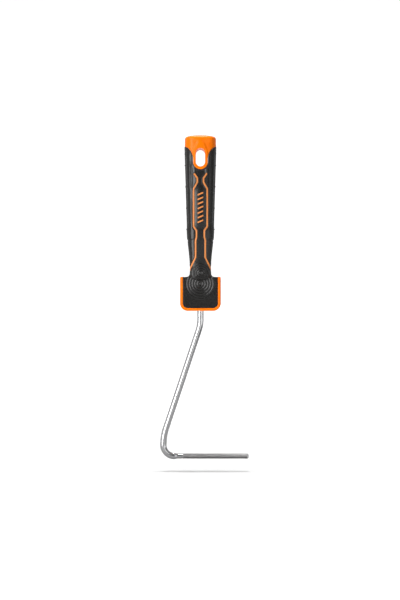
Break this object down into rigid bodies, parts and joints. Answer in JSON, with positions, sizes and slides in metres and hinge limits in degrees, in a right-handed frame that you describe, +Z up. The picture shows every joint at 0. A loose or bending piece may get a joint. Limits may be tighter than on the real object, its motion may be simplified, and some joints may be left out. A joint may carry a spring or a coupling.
{
  "type": "mini paint roller frame",
  "caption": "Mini paint roller frame: bent steel wire with a thinner knurled arm for the sleeve, moulded into a two-colour handle with a hang slot and a square thumb rest.",
  "frame": {"origin": "on the roller arm's axis, straight below the handle's axis", "axes": "+X along the arm to its free tip, +Z up along the handle to its butt, -Y out of the marked front face"},
  "size_m": [0.0836, 0.0244, 0.306],
  "materials": {
    "steel_wire": "bright drawn wire, knurled along the arm",
    "anchor_plastic": "plain moulded",
    "hard_plastic": "satin gloss moulded orange",
    "soft_plastic": "matt grained soft black"
  },
  "bodies": {
    "root": {"roller_wire": "steel_wire", "wire_anchor": "anchor_plastic", "handle_core": "hard_plastic", "soft_grip": "soft_plastic"}
  },
  "joints": []
}
